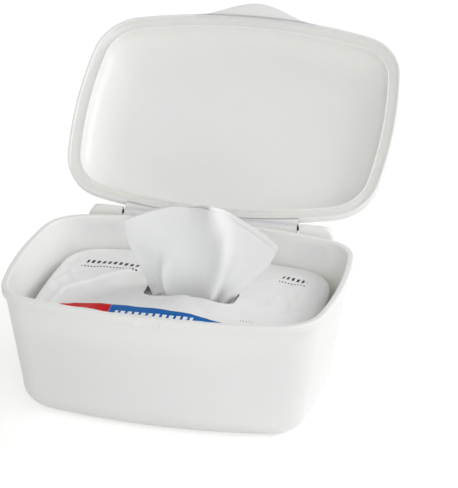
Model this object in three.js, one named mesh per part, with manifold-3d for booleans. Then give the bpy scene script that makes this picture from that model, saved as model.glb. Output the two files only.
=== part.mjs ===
// Wet wipes dispenser: a tapered moulded tub with a hinged domed lid, holding an opened film
// pouch of folded wipes with the next wipe pulled up through its slot.
// Millimetres, +Z up, origin at the middle of the tub's flat base, the front towards -Y.
// The lid stands open on its stop, as in use.
import * as THREE from "three";
import { mergeVertices } from "three/addons/utils/BufferGeometryUtils.js";
import Module from "manifold-3d";

const wasm = await Module();
wasm.setup();

// Rim outline of the tub: four bowed sides joined by round corners
const rim = {
  halfLength: 105,
  halfDepth: 75,
  longSideRadius: 370,
  shortSideRadius: 280,
  cornerRadius: 27.5,
  smallestCorner: 3,
};

const tub = {
  height: 85.5,
  wall: 2,
  floor: 2.4,
  draft: 0.153, // inset of the wall for each millimetre down
  footRadius: 19, // outer radius between wall and base
  footCorner: 17, // plan radius of the base's corners
  lipHeight: 5.4,
  lipProud: 2,
  lipRound: 0.9,
};

const notch = { width: 15, depth: 0.9 }; // recess for the lid's catch in the front of the lip

const lid = {
  openAngle: 143,
  skirtDrop: 4, // how far the skirt hangs below the tub's rim
  skirtWall: 1.6,
  skirtClearance: 1,
  cornerEase: 3, // the lid's corners are rounder than the rim's
  rimClearance: 0.4, // between the shut lid's groove and the rim
  flangeWall: 1.7,
  ribWall: 1.6,
  ribDrop: 2.4, // how far the plug rib reaches below the tub's rim
  ribClearance: 0.7,
  ribRound: 0.5,
  domeHeight: 11,
  domeReach: 24, // width of the curved edge of the dome
  domeDrop: 1, // how far the dome's curve starts below the groove's roof
  domeCornerShare: 0.75, // the dome's corners shrink more slowly than its outline
  smallestCorner: 8,
  panelWall: 1.7,
  edgeRound: 1.2,
};

const tab = { halfWidth: 41, reach: 10.5, thickness: 2.2 };
const catchRidge = { halfWidth: 20, height: 0.7, drop: 1.2 };

const hinge = {
  behindRim: 4, // from the back of the rim to the axis
  belowRim: 1.4,
  halfSpan: 57.4, // half the length of the lid's barrel
  barrelRadius: 3,
  endGap: 1.6,
  earLength: 22,
  earRadius: 3.5,
  earRound: 8,
  bracketHeight: 16, // from the axis to the bracket's root on the tub's back wall
  bracketGap: 1.2, // between the bracket and the foot of the shut lid's skirt
  pinRadius: 1.3,
  pinHold: 11, // length of pin inside the barrel and inside the ear
  pinClearance: 0.3,
};

const pouch = {
  halfLength: 90,
  halfDepth: 66.5,
  longSideRadius: 400,
  shortSideRadius: 450,
  cornerRadius: 24,
  restGap: 0.3,
  shoulderHeight: 66,
  footRound: 21,
  shoulderRound: 6,
  smallestCorner: 5,
  cornerShare: 0.35, // the corners shrink more slowly than the outline
  crown: 4.5, // rise of the top from its shoulder to its middle
  crownPowerX: 2.4, // higher is flatter in the middle and steeper at the ends
  crownPowerY: 2.2,
  crownReach: 32, // width of the band of rings that follow the crown
  crownRings: 3,
  film: 0.8,
};

const slot = { x: 8.2, y: -2.1, halfLength: 29.6, halfDepth: 9.8, corner: 5 };

const fin = {
  halfDepth: 43,
  height: 17,
  middle: 36, // height of the fin's root
  root: 3,
  thickness: 0.8,
  crimp: 0.5,
  crimps: 10,
  lean: 1.5,
};

const stack = { clearance: 0.5, topGap: 1.2, folds: 8, groove: 0.6, topRound: 3, topInset: 20 };

const wipe = { thickness: 0.8, footGap: 0.4, acrossSteps: 40, upSteps: 14 };

// Facets along each side and round each corner
const rimSteps = { longSide: 8, shortSide: 6, corner: 6 };
const packSteps = { longSide: 6, shortSide: 4, corner: 4 };

const hingeY = rim.halfDepth + hinge.behindRim;
const hingeZ = tub.height - hinge.belowRim;
const skirtFoot = tub.height - lid.skirtDrop;
const grooveRoof = tub.height + lid.rimClearance;
const flangeTop = grooveRoof + lid.flangeWall;

const material = (name, color, roughness, extra = {}) =>
  new THREE.MeshStandardMaterial({ name, color, roughness, metalness: 0, ...extra });
const whitePlastic = material("white moulded polypropylene", 0xf2f2ee, 0.35);
const filmSkin = material("white printed film", 0xf1f2f0, 0.3);
const fleece = material("white non-woven fleece", 0xfafafa, 0.9);
const pinSteel = material("blackened steel", 0x17181a, 0.4, { metalness: 0.6 });

const arcPoints = (cx, cy, radius, from, to, steps) =>
  Array.from({ length: steps }, (_, i) => {
    const t = from + ((to - from) * i) / steps;
    return new THREE.Vector2(cx + radius * Math.cos(t), cy + radius * Math.sin(t));
  });

// A bowed rectangle as one ring of points: side arcs tangent to corner arcs
function bowedRing(halfLength, halfDepth, longRadius, shortRadius, corner, facets) {
  const longCentre = new THREE.Vector2(0, halfDepth - longRadius);
  const shortCentre = new THREE.Vector2(halfLength - shortRadius, 0);
  const toLong = longRadius - corner;
  const toShort = shortRadius - corner;
  const between = shortCentre.clone().sub(longCentre);
  const gap = between.length();
  const along = (toLong ** 2 - toShort ** 2 + gap ** 2) / (2 * gap);
  const aside = Math.sqrt(Math.max(toLong ** 2 - along ** 2, 0));
  const unit = between.divideScalar(gap);
  const c = longCentre.clone().addScaledVector(unit, along);
  c.add(new THREE.Vector2(unit.y, -unit.x).multiplyScalar(aside));
  const longEnd = Math.atan2(c.y - longCentre.y, c.x);
  const shortEnd = Math.atan2(c.y, c.x - shortCentre.x);
  const quarter = [
    ...arcPoints(shortCentre.x, 0, shortRadius, 0, shortEnd, facets.shortSide / 2),
    ...arcPoints(c.x, c.y, corner, shortEnd, longEnd, facets.corner),
    ...arcPoints(0, longCentre.y, longRadius, longEnd, Math.PI / 2, facets.longSide / 2),
    new THREE.Vector2(0, halfDepth),
  ];
  const left = quarter.slice(0, -1).reverse().map((p) => new THREE.Vector2(-p.x, p.y));
  const back = [...quarter, ...left];
  const front = back.slice(1, -1).reverse().map((p) => new THREE.Vector2(p.x, -p.y));
  return [...back, ...front];
}

// The rim's outline moved inwards by an inset, at a height
const rimRing = (inset, z, corner = rim.cornerRadius - inset) =>
  bowedRing(
    rim.halfLength - inset,
    rim.halfDepth - inset,
    rim.longSideRadius - inset,
    rim.shortSideRadius - inset,
    Math.max(corner, rim.smallestCorner),
    rimSteps,
  ).map((p) => new THREE.Vector3(p.x, p.y, z));

const facesOf = (positions, faces) => {
  const geometry = new THREE.BufferGeometry();
  const flat = positions.flatMap((p) => [p.x, p.y, p.z]);
  geometry.setAttribute("position", new THREE.Float32BufferAttribute(flat, 3));
  geometry.setIndex(faces);
  return geometry;
};

// Skins a row of rings. An open row is closed by a fan at each end, a looped row by joining last to first.
function skin(rings, looped = false) {
  const n = rings[0].length;
  const points = rings.flat();
  const faces = [];
  const joins = looped ? rings.length : rings.length - 1;
  for (let r = 0; r < joins; r++)
    for (let i = 0; i < n; i++) {
      const a = r * n + i;
      const b = r * n + ((i + 1) % n);
      const c = ((r + 1) % rings.length) * n + i;
      const d = ((r + 1) % rings.length) * n + ((i + 1) % n);
      faces.push(a, b, d, a, d, c);
    }
  if (!looped)
    for (const [r, flip] of [[0, true], [rings.length - 1, false]]) {
      const hub = points.length;
      const middle = rings[r].reduce((s, p) => s.add(p), new THREE.Vector3()).divideScalar(n);
      points.push(middle);
      for (let i = 0; i < n; i++) {
        const a = r * n + i;
        const b = r * n + ((i + 1) % n);
        faces.push(hub, ...(flip ? [b, a] : [a, b]));
      }
    }
  return facesOf(points, faces);
}

// Conversions between three.js geometry and manifold-3d solids
function solidOf(geometry) {
  const bare = geometry.clone();
  bare.deleteAttribute("normal");
  bare.deleteAttribute("uv");
  const merged = mergeVertices(bare, 1e-4);
  return new wasm.Manifold(
    new wasm.Mesh({
      numProp: 3,
      vertProperties: new Float32Array(merged.attributes.position.array),
      triVerts: new Uint32Array(merged.index.array),
    }),
  );
}

function geometryOf(solid) {
  const mesh = solid.getMesh();
  const geometry = new THREE.BufferGeometry();
  geometry.setAttribute("position", new THREE.Float32BufferAttribute(mesh.vertProperties, 3));
  geometry.setIndex(new THREE.BufferAttribute(mesh.triVerts, 1));
  return geometry;
}

const boxSolid = (x0, x1, y0, y1, z0, z1) => {
  const box = new THREE.BoxGeometry(x1 - x0, y1 - y0, z1 - z0);
  return solidOf(box.translate((x0 + x1) / 2, (y0 + y1) / 2, (z0 + z1) / 2));
};

// A round bar along X
const barSolid = (radius, x0, x1, y, z, sides = 24) =>
  solidOf(
    new THREE.CylinderGeometry(radius, radius, x1 - x0, sides)
      .rotateZ(Math.PI / 2)
      .translate((x0 + x1) / 2, y, z),
  );

const extrudeAlongZ = (shape, z0, z1) =>
  solidOf(new THREE.ExtrudeGeometry(shape, { depth: z1 - z0, bevelEnabled: false }).translate(0, 0, z0));

// Points of a quarter round between two directions, as [inset, z] steps
const quarterRound = (cx, cz, radiusX, radiusZ, from, to, steps) =>
  Array.from({ length: steps + 1 }, (_, i) => {
    const t = THREE.MathUtils.degToRad(from + ((to - from) * i) / steps);
    return [cx + radiusX * Math.cos(t), cz + radiusZ * Math.sin(t)];
  });

// Inset of the tub's outer wall at a height under the lip
const wallInset = (z) => tub.lipProud + tub.draft * (tub.height - tub.lipHeight - z);

// Plan corner radius shrinks evenly from the rim to the base
const tubCorner = (z, inset) =>
  THREE.MathUtils.lerp(tub.footCorner, rim.cornerRadius, z / tub.height) - Math.min(inset, tub.wall);

function tubShell() {
  const { height, wall, floor, footRadius, lipHeight, lipProud, lipRound } = tub;
  const footInset = wallInset(footRadius);
  const innerFoot = footRadius - wall;
  const outer = [
    ...quarterRound(footInset + footRadius, footRadius, footRadius, footRadius, 270, 180, 8),
    [lipProud, height - lipHeight],
    [lipRound / 2, height - lipHeight],
    [0, height - lipHeight + lipRound],
    ...quarterRound(lipRound, height - lipRound, lipRound, lipRound, 180, 90, 3),
  ];
  const inner = [
    ...quarterRound(lipProud + wall - lipRound, height - lipRound, lipRound, lipRound, 90, 0, 3),
    [wallInset(height - lipHeight - lipRound) + wall, height - lipHeight - lipRound],
    ...quarterRound(footInset + wall + innerFoot, floor + innerFoot, innerFoot, innerFoot, 180, 270, 8),
  ];
  const rings = [...outer, ...inner].map(([inset, z]) => rimRing(inset, z, tubCorner(z, inset)));
  return solidOf(skin(rings));
}

// Extrudes a shape drawn in the YZ plane along X
const extrudeAlongX = (shape, x0, x1) => {
  const toYZ = new THREE.Matrix4().makeBasis(
    new THREE.Vector3(0, 1, 0),
    new THREE.Vector3(0, 0, 1),
    new THREE.Vector3(1, 0, 0),
  );
  const bar = new THREE.ExtrudeGeometry(shape, { depth: x1 - x0, bevelEnabled: false, curveSegments: 8 });
  return solidOf(bar.applyMatrix4(toYZ).translate(x0, 0, 0));
};

// Extrudes a shape drawn in the XZ plane along Y
const extrudeAlongY = (shape, y0, y1) => {
  const bar = new THREE.ExtrudeGeometry(shape, { depth: y1 - y0, bevelEnabled: false, curveSegments: 8 });
  return solidOf(bar.rotateX(Math.PI / 2).translate(0, y1, 0));
};

// Hinge ear: a boss behind the rim on a bracket from the tub's back wall, its outer end rounded off
function ear(side) {
  const { halfSpan, endGap, earLength, earRadius, earRound, bracketHeight, pinHold } = hinge;
  const x0 = halfSpan + endGap;
  const x1 = x0 + earLength;
  const root = rim.halfDepth - rim.cornerRadius / 2;
  const foot = hingeZ - bracketHeight;
  const bracketTop = skirtFoot - hinge.bracketGap;
  const profile = new THREE.Shape();
  profile.moveTo(root, bracketTop);
  profile.lineTo(root, foot);
  profile.quadraticCurveTo(hingeY, foot + earRadius, hingeY + earRadius, hingeZ);
  profile.lineTo(hingeY - earRadius, hingeZ);
  profile.lineTo(hingeY - earRadius, bracketTop);
  const boss = barSolid(earRadius, x0, x1, hingeY, hingeZ, 24);
  const body = boss.add(extrudeAlongX(profile, x0, x1));
  const top = hingeZ + earRadius;
  const face = new THREE.Shape();
  face.moveTo(x0, top);
  face.lineTo(x0, foot);
  face.lineTo(x1 - earRound, foot);
  face.quadraticCurveTo(x1, foot + earRound, x1, hingeZ - earRadius);
  face.quadraticCurveTo(x1, top, x1 - earRound, top);
  const envelope = extrudeAlongY(face, root, hingeY + earRadius * 2);
  const holeRadius = hinge.pinRadius + hinge.pinClearance;
  const hole = barSolid(holeRadius, x0 - 1, x0 + pinHold + hinge.pinClearance, hingeY, hingeZ);
  const made = body.intersect(envelope).subtract(hole);
  return side > 0 ? made : made.mirror([1, 0, 0]);
}

function makeTub() {
  const midWall = tub.wall / 2;
  const cavity = solidOf(
    skin(
      [
        [wallInset(tub.footRadius) + midWall, tub.footRadius],
        [tub.lipProud + midWall, tub.height],
      ].map(([inset, z]) => rimRing(inset, z, tubCorner(z, tub.wall))),
    ),
  );
  const recess = boxSolid(
    -notch.width / 2,
    notch.width / 2,
    -rim.halfDepth - tub.lipProud,
    -rim.halfDepth + notch.depth,
    tub.height - tub.lipHeight - 1,
    tub.height - tub.lipRound * 1.5,
  );
  const ears = ear(1).add(ear(-1)).subtract(cavity);
  return geometryOf(tubShell().add(ears).subtract(recess));
}

// Inset of the plug rib's outer face: clear of the tub's wall, which closes in as it goes down
const ribInset = () =>
  Math.max(tub.lipProud, wallInset(tub.height - lid.ribDrop)) + tub.wall + lid.ribClearance;

// Lid in its closed place, from the middle of the underside out to the skirt and back over the top
function makeLid() {
  const { skirtWall, skirtClearance, ribWall, ribDrop, ribRound } = lid;
  const { domeHeight, domeReach, domeDrop, panelWall, edgeRound } = lid;
  const rib = ribInset();
  const inside = rib + ribWall;
  const out = -skirtClearance - skirtWall;
  const domeRoof = grooveRoof + domeHeight;
  const lidCorner = rim.cornerRadius + lid.cornerEase;
  const domeCorner = (inset) => Math.max(lidCorner - inset * lid.domeCornerShare, lid.smallestCorner);
  const plan = (inset) => (inset > 0 ? domeCorner(inset) : lidCorner - inset);
  const under = [
    ...quarterRound(inside + domeReach, grooveRoof - domeDrop, domeReach, domeHeight + domeDrop, 90, 180, 9),
    [inside, tub.height - ribDrop + ribRound],
    [inside - ribRound, tub.height - ribDrop],
    [rib + ribRound, tub.height - ribDrop],
    [rib, tub.height - ribDrop + ribRound],
    [rib, grooveRoof],
    [-skirtClearance, grooveRoof],
    [-skirtClearance, skirtFoot],
  ];
  const over = [
    [out, skirtFoot],
    [out, flangeTop - edgeRound],
    ...quarterRound(out + edgeRound, flangeTop - edgeRound, edgeRound, edgeRound, 160, 90, 3),
    [rib - edgeRound, flangeTop],
    ...quarterRound(rib + domeReach, flangeTop, domeReach, domeRoof + panelWall - flangeTop, 172, 90, 8),
  ];
  const rings = [...under, ...over].map(([inset, z]) => rimRing(inset, z, plan(inset)));
  const shell = solidOf(skin(rings));
  const clearance = solidOf(
    skin([0, grooveRoof].map((z) => rimRing(-skirtClearance, z, plan(-skirtClearance)))),
  );
  const barrel = barSolid(hinge.barrelRadius, -hinge.halfSpan, hinge.halfSpan, hingeY, hingeZ, 28);
  const strip = boxSolid(
    -hinge.halfSpan,
    hinge.halfSpan,
    rim.halfDepth - rib,
    hingeY,
    skirtFoot,
    hingeZ + hinge.barrelRadius,
  );
  const holeEnd = hinge.halfSpan - hinge.pinHold - hinge.pinClearance;
  const pinHole = (side) => {
    const middle = (side * (holeEnd + hinge.halfSpan + hinge.endGap)) / 2;
    const half = (hinge.halfSpan + hinge.endGap - holeEnd) / 2;
    return barSolid(hinge.pinRadius + hinge.pinClearance, middle - half, middle + half, hingeY, hingeZ);
  };
  const hingePart = strip.add(barrel).subtract(clearance);
  const whole = shell.add(hingePart).add(thumbTab(clearance)).add(frontCatch());
  return geometryOf(whole.subtract(pinHole(1)).subtract(pinHole(-1)));
}

// Front edge of the rim's outline at a distance from the middle
const frontY = (x, inset = 0) => {
  const radius = rim.longSideRadius - inset;
  return -(Math.sqrt(radius ** 2 - x ** 2) + rim.halfDepth - inset - radius);
};

// Thumb tab: a plate that swells from the skirt's foot in one smooth wave
function thumbTab(clearance) {
  const steps = 28;
  const outline = new THREE.Shape();
  const swell = (x) => tab.reach * Math.cos((Math.PI * x) / (2 * tab.halfWidth)) ** 2;
  const root = frontY(tab.halfWidth) + lid.skirtWall;
  outline.moveTo(-tab.halfWidth, root);
  for (let i = 0; i <= steps; i++) {
    const x = -tab.halfWidth + (2 * tab.halfWidth * i) / steps;
    outline.lineTo(x, frontY(x, -lid.skirtClearance - lid.skirtWall) - swell(x));
  }
  outline.lineTo(tab.halfWidth, root);
  return extrudeAlongZ(outline, skirtFoot, skirtFoot + tab.thickness).subtract(clearance);
}

// Catch: a low ridge inside the front of the skirt, under the tub's lip when shut
function frontCatch() {
  const steps = 8;
  const outline = new THREE.Shape();
  const tip = catchRidge.height - lid.skirtClearance;
  const root = -lid.skirtClearance - lid.skirtWall / 2;
  const along = Array.from({ length: steps + 1 }, (_, i) => catchRidge.halfWidth * ((2 * i) / steps - 1));
  outline.moveTo(-catchRidge.halfWidth, frontY(catchRidge.halfWidth, root));
  for (const x of along) outline.lineTo(x, frontY(x, tip));
  for (const x of along.slice(1).reverse()) outline.lineTo(x, frontY(x, root));
  return extrudeAlongZ(outline, skirtFoot, skirtFoot + catchRidge.drop);
}

function makePin(side) {
  const reach = hinge.pinHold;
  const inner = hinge.halfSpan - reach;
  const outer = hinge.halfSpan + hinge.endGap + reach;
  return new THREE.CylinderGeometry(hinge.pinRadius, hinge.pinRadius, outer - inner, 20)
    .rotateZ(Math.PI / 2)
    .translate((side * (inner + outer)) / 2, hingeY, hingeZ);
}

// Rise of the pouch's crowned top over a point
const crownAt = (x, y) => {
  const across = Math.min(Math.abs(x) / pouch.halfLength, 1);
  const deep = Math.min(Math.abs(y) / pouch.halfDepth, 1);
  return pouch.crown * (1 - across ** pouch.crownPowerX) * (1 - deep ** pouch.crownPowerY);
};

// Plan ring of the pack, moved in from the pouch's outer face by an inset. It narrows downwards with the tub.
function packRing(inset, z, crowned = false) {
  const all = inset + tub.draft * Math.max(pouch.shoulderHeight - z, 0);
  return bowedRing(
    pouch.halfLength - all,
    pouch.halfDepth - all,
    pouch.longSideRadius - all,
    pouch.shortSideRadius - all,
    Math.max(pouch.cornerRadius - all * pouch.cornerShare, pouch.smallestCorner),
    packSteps,
  ).map((p) => new THREE.Vector3(p.x, p.y, z + (crowned ? crownAt(p.x, p.y) : 0)));
}

// Pouch skin at an inset: a pillow with rounded foot and shoulders and a crowned top
function pillow(inset) {
  const { restGap, footRound, shoulderRound, shoulderHeight } = pouch;
  const bottom = tub.floor + restGap;
  const foot = quarterRound(footRound, bottom + footRound, footRound, footRound - inset, 270, 180, 5);
  const shoulder = quarterRound(
    shoulderRound,
    shoulderHeight - shoulderRound,
    shoulderRound,
    shoulderRound - inset,
    180,
    90,
    3,
  );
  const rings = [
    ...foot.map(([a, z]) => packRing(inset + a, z)),
    ...shoulder.map(([a, z]) => packRing(inset + a, z, true)),
  ];
  for (let i = 1; i <= pouch.crownRings; i++) {
    const a = shoulderRound + (pouch.crownReach * i) / pouch.crownRings;
    rings.push(packRing(inset + a, shoulderHeight - inset, true));
  }
  return solidOf(skin(rings));
}

// End seal: a crimped fin folded up beside the pouch's end
function endFin(side) {
  const { halfDepth, height, middle, thickness, crimp, crimps, lean } = fin;
  const root = pouch.halfLength - pouch.film - tub.draft * (pouch.shoulderHeight - middle);
  const reach = lean + tub.draft * height;
  const face = (t) => root + reach * t + crimp * t * Math.cos(t * crimps * Math.PI);
  const steps = Array.from({ length: crimps * 2 }, (_, i) => (i + 1) / (crimps * 2));
  const outline = new THREE.Shape();
  outline.moveTo(root - pouch.film / 4, middle);
  for (const t of steps) outline.lineTo(face(t) + thickness, middle + height * t);
  for (const t of steps.reverse()) outline.lineTo(face(t), middle + height * t);
  outline.lineTo(root - pouch.film / 4, middle + fin.root);
  const solid = extrudeAlongY(outline, -halfDepth, halfDepth);
  return side > 0 ? solid : solid.mirror([1, 0, 0]);
}

// The slot's outline: a rectangle with round corners
function slotShape() {
  const straightX = slot.halfLength - slot.corner;
  const straightY = slot.halfDepth - slot.corner;
  const shape = new THREE.Shape();
  for (const [quarter, sideX, sideY] of [[0, 1, 1], [1, -1, 1], [2, -1, -1], [3, 1, -1]]) {
    const start = (quarter * Math.PI) / 2;
    const centreX = slot.x + sideX * straightX;
    const centreY = slot.y + sideY * straightY;
    shape.absarc(centreX, centreY, slot.corner, start, start + Math.PI / 2);
  }
  return shape;
}

const stackTop = pouch.shoulderHeight - pouch.film - stack.topGap;

function makePouch() {
  const hole = extrudeAlongZ(slotShape(), stackTop, pouch.shoulderHeight + pouch.crown * 2);
  const skinSolid = pillow(0).add(endFin(1)).add(endFin(-1));
  return geometryOf(skinSolid.subtract(pillow(pouch.film)).subtract(hole));
}

// Wipes left in the pouch: one block of folded sheets, its edges grooved by the folds
function makeStack() {
  const inset = pouch.film + stack.clearance;
  const bottom = tub.floor + pouch.restGap + inset;
  const round = pouch.footRound;
  const ring = (a, z) => packRing(inset + a, z);
  const top = stackTop - stack.topRound;
  const pitch = (top - bottom - round) / stack.folds;
  const rings = quarterRound(round, bottom + round, round, round, 270, 180, 4).map(([a, z]) => ring(a, z));
  for (let i = 0; i < stack.folds; i++) {
    const z = bottom + round + pitch * i;
    rings.push(ring(stack.groove, z + pitch / 6), ring(0, z + pitch / 2));
  }
  rings.push(ring(stack.groove, top), ring(stack.topRound, stackTop), ring(stack.topInset, stackTop));
  return skin(rings);
}

// Pulled wipe: pleats gathered in the slot that fan out to a waved top edge.
// Each spline runs from the left edge to the right edge of the sheet.
const spline = (points) => {
  const knots = points.map((p) => new THREE.Vector3(...p));
  return new THREE.CatmullRomCurve3(knots, false, "centripetal");
};

const wipeFoot = spline([
  [-17, 0, 0], [-14, 5, 0], [-9, 4, 0], [-6, -6, 0], [0, 2, 0], [7, 4, 0],
  [14, 2, 0], [21, -10, 0], [24, 0, 0], [28, -5, 0], [31, 0, 0],
]);
const wipeWaist = spline([
  [-25, -3, 22], [-20, 5, 17], [-13, 4, 17], [-9, -6, 19], [0, 2, 19], [9, 3, 18],
  [18, -1, 17], [27, -9, 18], [32, 0, 17], [38, -3, 16], [44, -3, 16],
]);
const wipeHip = spline([
  [-31.5, -6, 39], [-24, -3, 37.5], [-15, 0, 37], [-6, 2.5, 37], [2, 4, 37], [11, 3, 37],
  [21, -2, 36], [30, -9, 37], [36, -1, 34], [46, 1, 32], [57, 1, 29],
]);
const wipeEdge = spline([
  [-33, -7, 53], [-25, -3, 56], [-15, 2, 58.5], [-3, 4.5, 61], [7, 3.5, 61.5], [15, -2, 64.5],
  [22, -8, 66], [29, 0, 60], [39, 2, 53], [51, 3, 45.5], [61, 2, 38],
]);

function makeWipe() {
  const { thickness, footGap, acrossSteps, upSteps } = wipe;
  const footZ = stackTop + footGap;
  const sheet = [];
  for (let j = 0; j <= acrossSteps; j++) {
    const u = j / acrossSteps;
    const column = new THREE.CatmullRomCurve3(
      [wipeFoot, wipeWaist, wipeHip, wipeEdge].map((row) => row.getPoint(u)),
      false,
      "centripetal",
    );
    sheet.push(Array.from({ length: upSteps + 1 }, (_, i) => column.getPoint(i / upSteps)));
  }
  const at = (j, i) => sheet[Math.min(Math.max(j, 0), acrossSteps)][Math.min(Math.max(i, 0), upSteps)];
  const points = [];
  for (const side of [0.5, -0.5])
    for (let j = 0; j <= acrossSteps; j++)
      for (let i = 0; i <= upSteps; i++) {
        const across = at(j + 1, i).clone().sub(at(j - 1, i));
        const up = at(j, i + 1).clone().sub(at(j, i - 1));
        const normal = across.cross(up).normalize();
        const p = at(j, i).clone().addScaledVector(normal, side * thickness);
        points.push(new THREE.Vector3(p.x, p.y, Math.max(p.z, 0) + footZ));
      }
  const rows = upSteps + 1;
  const layer = (acrossSteps + 1) * rows;
  const id = (side, j, i) => side * layer + j * rows + i;
  const faces = [];
  const quad = (a, b, c, d) => faces.push(a, b, c, a, c, d);
  for (let j = 0; j < acrossSteps; j++)
    for (let i = 0; i < upSteps; i++) {
      quad(id(0, j, i), id(0, j + 1, i), id(0, j + 1, i + 1), id(0, j, i + 1));
      quad(id(1, j, i), id(1, j, i + 1), id(1, j + 1, i + 1), id(1, j + 1, i));
    }
  for (let j = 0; j < acrossSteps; j++) {
    quad(id(0, j + 1, 0), id(0, j, 0), id(1, j, 0), id(1, j + 1, 0));
    quad(id(0, j, upSteps), id(0, j + 1, upSteps), id(1, j + 1, upSteps), id(1, j, upSteps));
  }
  for (let i = 0; i < upSteps; i++) {
    quad(id(0, 0, i), id(0, 0, i + 1), id(1, 0, i + 1), id(1, 0, i));
    quad(id(0, acrossSteps, i + 1), id(0, acrossSteps, i), id(1, acrossSteps, i), id(1, acrossSteps, i + 1));
  }
  return facesOf(points, faces);
}

const named = (name, geometry, finish) => {
  const mesh = new THREE.Mesh(geometry, finish);
  mesh.name = name;
  return mesh;
};

const dispenser = new THREE.Group();
dispenser.add(
  named("tub", makeTub(), whitePlastic),
  named("hinge_pin_left", makePin(-1), pinSteel),
  named("hinge_pin_right", makePin(1), pinSteel),
  named("wipes_pouch", makePouch(), filmSkin),
  named("wipes_stack", makeStack(), fleece),
  named("pulled_wipe", makeWipe(), fleece),
);

// The lid is drawn shut and turned back about the hinge axis
const lidGroup = new THREE.Group();
lidGroup.position.set(0, hingeY, hingeZ);
lidGroup.rotation.x = THREE.MathUtils.degToRad(-lid.openAngle);
const lidMesh = named("lid", makeLid(), whitePlastic);
lidMesh.position.set(0, -hingeY, -hingeZ);
lidGroup.add(lidMesh);
dispenser.add(lidGroup);

export default dispenser;
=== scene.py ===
import math

import bpy
import numpy as np
from mathutils import Matrix, Vector, noise


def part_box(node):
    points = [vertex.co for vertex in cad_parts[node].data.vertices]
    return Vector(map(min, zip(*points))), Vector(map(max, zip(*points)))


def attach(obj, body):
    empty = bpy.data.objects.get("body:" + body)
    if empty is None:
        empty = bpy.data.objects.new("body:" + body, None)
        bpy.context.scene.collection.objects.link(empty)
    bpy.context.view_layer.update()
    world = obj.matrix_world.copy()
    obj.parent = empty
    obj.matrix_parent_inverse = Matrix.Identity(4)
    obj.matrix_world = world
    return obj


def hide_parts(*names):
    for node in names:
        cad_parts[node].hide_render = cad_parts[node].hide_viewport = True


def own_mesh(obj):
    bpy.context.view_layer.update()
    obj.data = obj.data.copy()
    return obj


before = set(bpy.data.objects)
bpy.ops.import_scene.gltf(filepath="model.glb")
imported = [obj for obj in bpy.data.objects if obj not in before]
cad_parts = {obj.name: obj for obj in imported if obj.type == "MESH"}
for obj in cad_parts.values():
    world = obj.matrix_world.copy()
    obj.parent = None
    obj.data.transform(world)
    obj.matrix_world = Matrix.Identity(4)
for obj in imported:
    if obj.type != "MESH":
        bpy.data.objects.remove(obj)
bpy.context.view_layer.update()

# Wet wipes dispenser: a moulded tub and hinged lid round an opened film pouch of wipes.
# Shapes are worked out in millimetres and turned to metres when a mesh is made.
mm = 0.001
softEdge = 60  # degrees that film and cloth bend before an edge shows
tubLow, tubHigh = (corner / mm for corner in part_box("tub"))

rim = {
    "halfLength": tubHigh.x,
    "halfDepth": -tubLow.y,
    "longRadius": 370,
    "shortRadius": 280,
    "corner": 27.5,
    "smallestCorner": 3,
    "facets": {"long": 210, "short": 60, "round": 22},
}


def colour(hexText):
    # sRGB hex to the linear values that Blender works in
    parts = [int(hexText[i : i + 2], 16) / 255 for i in (1, 3, 5)]
    return (*[c / 12.92 if c <= 0.04045 else ((c + 0.055) / 1.055) ** 2.4 for c in parts], 1)


def addNode(tree, kind, inputs=None, **settings):
    node = tree.nodes.new(kind)
    for key, value in settings.items():
        setattr(node, key, value)
    for key, value in (inputs or {}).items():
        if isinstance(value, bpy.types.NodeSocket):
            tree.links.new(value, node.inputs[key])
        else:
            node.inputs[key].default_value = value
    return node


def newMaterial(name):
    made = bpy.data.materials.new(name)
    made.use_nodes = True
    made.node_tree.nodes.clear()
    return made, made.node_tree


def mouldedPolypropylene():
    # Polypropylene from a fine-eroded mould: satin white that lets a little light in at thin edges
    made, tree = newMaterial("moulded polypropylene")
    look = {
        "white": colour("#fafaf7"),
        "milky": colour("#f6f7f3"),
        "grainScale": 1 / (0.9 * mm),  # mould grain of about 0.3 mm, drawn at 0.9 mm so that it shows
        "cloudScale": 1 / (38 * mm),  # slow flow clouds
        "roughLow": 0.3,
        "roughHigh": 0.4,
    }
    place = addNode(tree, "ShaderNodeTexCoord").outputs["Object"]
    grain = addNode(tree, "ShaderNodeTexNoise", {"Vector": place, "Scale": look["grainScale"], "Detail": 2.0})
    cloud = addNode(tree, "ShaderNodeTexNoise", {"Vector": place, "Scale": look["cloudScale"], "Detail": 1.0})
    tint = addNode(
        tree,
        "ShaderNodeMix",
        {"Factor": cloud.outputs["Fac"], "A": look["white"], "B": look["milky"]},
        data_type="RGBA",
    )
    rough = addNode(
        tree,
        "ShaderNodeMapRange",
        {"Value": grain.outputs["Fac"], "To Min": look["roughLow"], "To Max": look["roughHigh"]},
    )
    bump = addNode(
        tree, "ShaderNodeBump", {"Height": grain.outputs["Fac"], "Strength": 0.04, "Distance": 0.05 * mm}
    )
    shader = addNode(
        tree,
        "ShaderNodeBsdfPrincipled",
        {
            "Base Color": tint.outputs["Result"],
            "Roughness": rough.outputs["Result"],
            "Normal": bump.outputs["Normal"],
            "IOR": 1.49,
            "Specular IOR Level": 0.4,
            "Subsurface Weight": 0.4,
            "Subsurface Radius": (1.0, 0.93, 0.72),
            "Subsurface Scale": 2.5 * mm,
        },
    )
    addNode(tree, "ShaderNodeOutputMaterial", {"Surface": shader.outputs["BSDF"]})
    return made


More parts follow.
